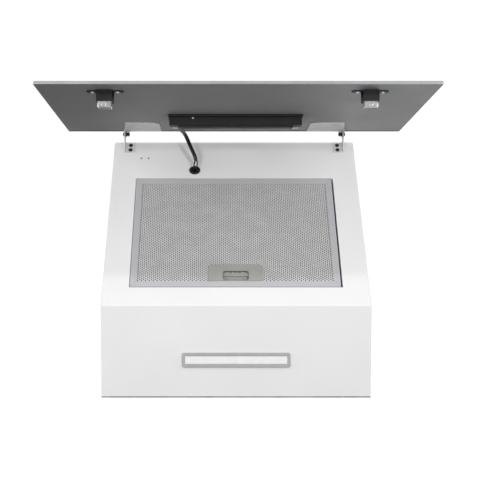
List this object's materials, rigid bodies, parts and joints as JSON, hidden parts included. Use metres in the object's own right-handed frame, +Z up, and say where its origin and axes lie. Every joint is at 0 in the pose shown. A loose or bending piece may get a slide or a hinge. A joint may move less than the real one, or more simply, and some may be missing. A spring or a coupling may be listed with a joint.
{
  "type": "under cabinet range hood",
  "caption": "Slanted cooker hood with a folded steel body, hinged glass front panel, tilting grease filter with a spring latch, light bar, blower and flapped duct collar.",
  "frame": {"origin": "middle of the back panel's rear face, which lies on the wall", "axes": "+Y into the wall, +Z up, +X to the right when seen from the kitchen"},
  "size_m": [0.6, 0.5007, 0.4594],
  "materials": {
    "white_paint": "satin white powder coat",
    "grey_back_glass": "toughened glass with a grey painted back",
    "aluminium": "satin",
    "zinc_steel": "zinc plated sheet",
    "bright_steel": "turned",
    "black_plastic": "moulded",
    "black_rubber": "matt",
    "warm_grey_plastic": "moulded",
    "silver_plastic": "silver grey",
    "diffuser_plastic": "frosted",
    "circuit_board": "solder mask",
    "grey_plastic": "moulded"
  },
  "bodies": {
    "body": {"front_shell": "white_paint", "side_panel_left": "white_paint", "side_panel_right": "white_paint", "back_panel": "zinc_steel", "top_panel": "zinc_steel", "duct_collar": "black_plastic", "collar_flange": "black_plastic", "flap_axle": "bright_steel", "blower_housing_left": "black_plastic", "blower_housing_right": "black_plastic", "blower_motor": "bright_steel", "motor_bracket": "zinc_steel", "terminal_box": "grey_plastic", "terminal_cover": "grey_plastic", "motor_capacitor": "aluminium", "led_driver": "grey_plastic", "mains_gland": "black_plastic", "light_frame": "silver_plastic", "light_diffuser": "diffuser_plastic", "light_board": "circuit_board", "filter_rail_upper": "zinc_steel", "filter_rail_lower": "zinc_steel", "cable_grommet": "black_rubber", "body_bracket_left": "zinc_steel", "body_bracket_right": "zinc_steel", "hinge_pin_left": "bright_steel", "hinge_pin_right": "bright_steel", "control_cable": "black_rubber", "bracket_screw_left_1": "bright_steel", "bracket_screw_left_2": "bright_steel", "bracket_screw_right_1": "bright_steel", "bracket_screw_right_2": "bright_steel"},
    "panel": {"glass_panel": "grey_back_glass", "control_base": "black_plastic", "control_board": "circuit_board", "control_cover": "black_plastic", "glass_bracket_left": "zinc_steel", "magnet_holder_left": "black_plastic", "magnet_left": "bright_steel", "magnet_screw_left_1": "bright_steel", "magnet_screw_left_2": "bright_steel", "glass_bracket_right": "zinc_steel", "magnet_holder_right": "black_plastic", "magnet_right": "bright_steel", "magnet_screw_right_1": "bright_steel", "magnet_screw_right_2": "bright_steel"},
    "filter": {"filter_frame_bottom": "aluminium", "filter_frame_right": "aluminium", "filter_frame_top": "aluminium", "filter_frame_left": "aluminium", "filter_front_mesh": "aluminium", "filter_core": "aluminium", "filter_back_mesh": "aluminium", "latch_housing": "warm_grey_plastic", "latch_spring": "bright_steel"},
    "latch": {"latch_slider": "warm_grey_plastic"},
    "blower_wheel": {"impeller": "grey_plastic", "motor_shaft": "bright_steel"},
    "flap_front": {"damper_flap_front": "grey_plastic"},
    "flap_rear": {"damper_flap_rear": "grey_plastic"}
  },
  "joints": [
    {"name": "panel_hinge", "type": "hinge", "parent": "body", "child": "panel", "pos_m": [0, -0.43123, 0.08211], "axis": [-1, 0, 0], "range_deg": [-57, 13], "deforming": ["control_cable"]},
    {"name": "filter_hinge", "type": "hinge", "parent": "body", "child": "filter", "pos_m": [0, -0.34907, 0.03849], "axis": [-1, 0, 0], "range_deg": [0, 55]},
    {"name": "latch_slide", "type": "slide", "parent": "filter", "child": "latch", "axis": [0, -0.7361, 0.6769], "range_m": [0, 0.005], "stiffness_N_per_m": 400, "deforming": ["latch_spring"]},
    {"name": "blower_spin", "type": "hinge", "parent": "body", "child": "blower_wheel", "pos_m": [0, -0.15, 0.02], "axis": [1, 0, 0], "continuous": true},
    {"name": "flap_front_hinge", "type": "hinge", "parent": "body", "child": "flap_front", "pos_m": [0, -0.185, 0.151], "axis": [-1, 0, 0], "range_deg": [0, 72]},
    {"name": "flap_rear_hinge", "type": "hinge", "parent": "body", "child": "flap_rear", "pos_m": [0, -0.185, 0.151], "axis": [1, 0, 0], "range_deg": [0, 72]}
  ]
}
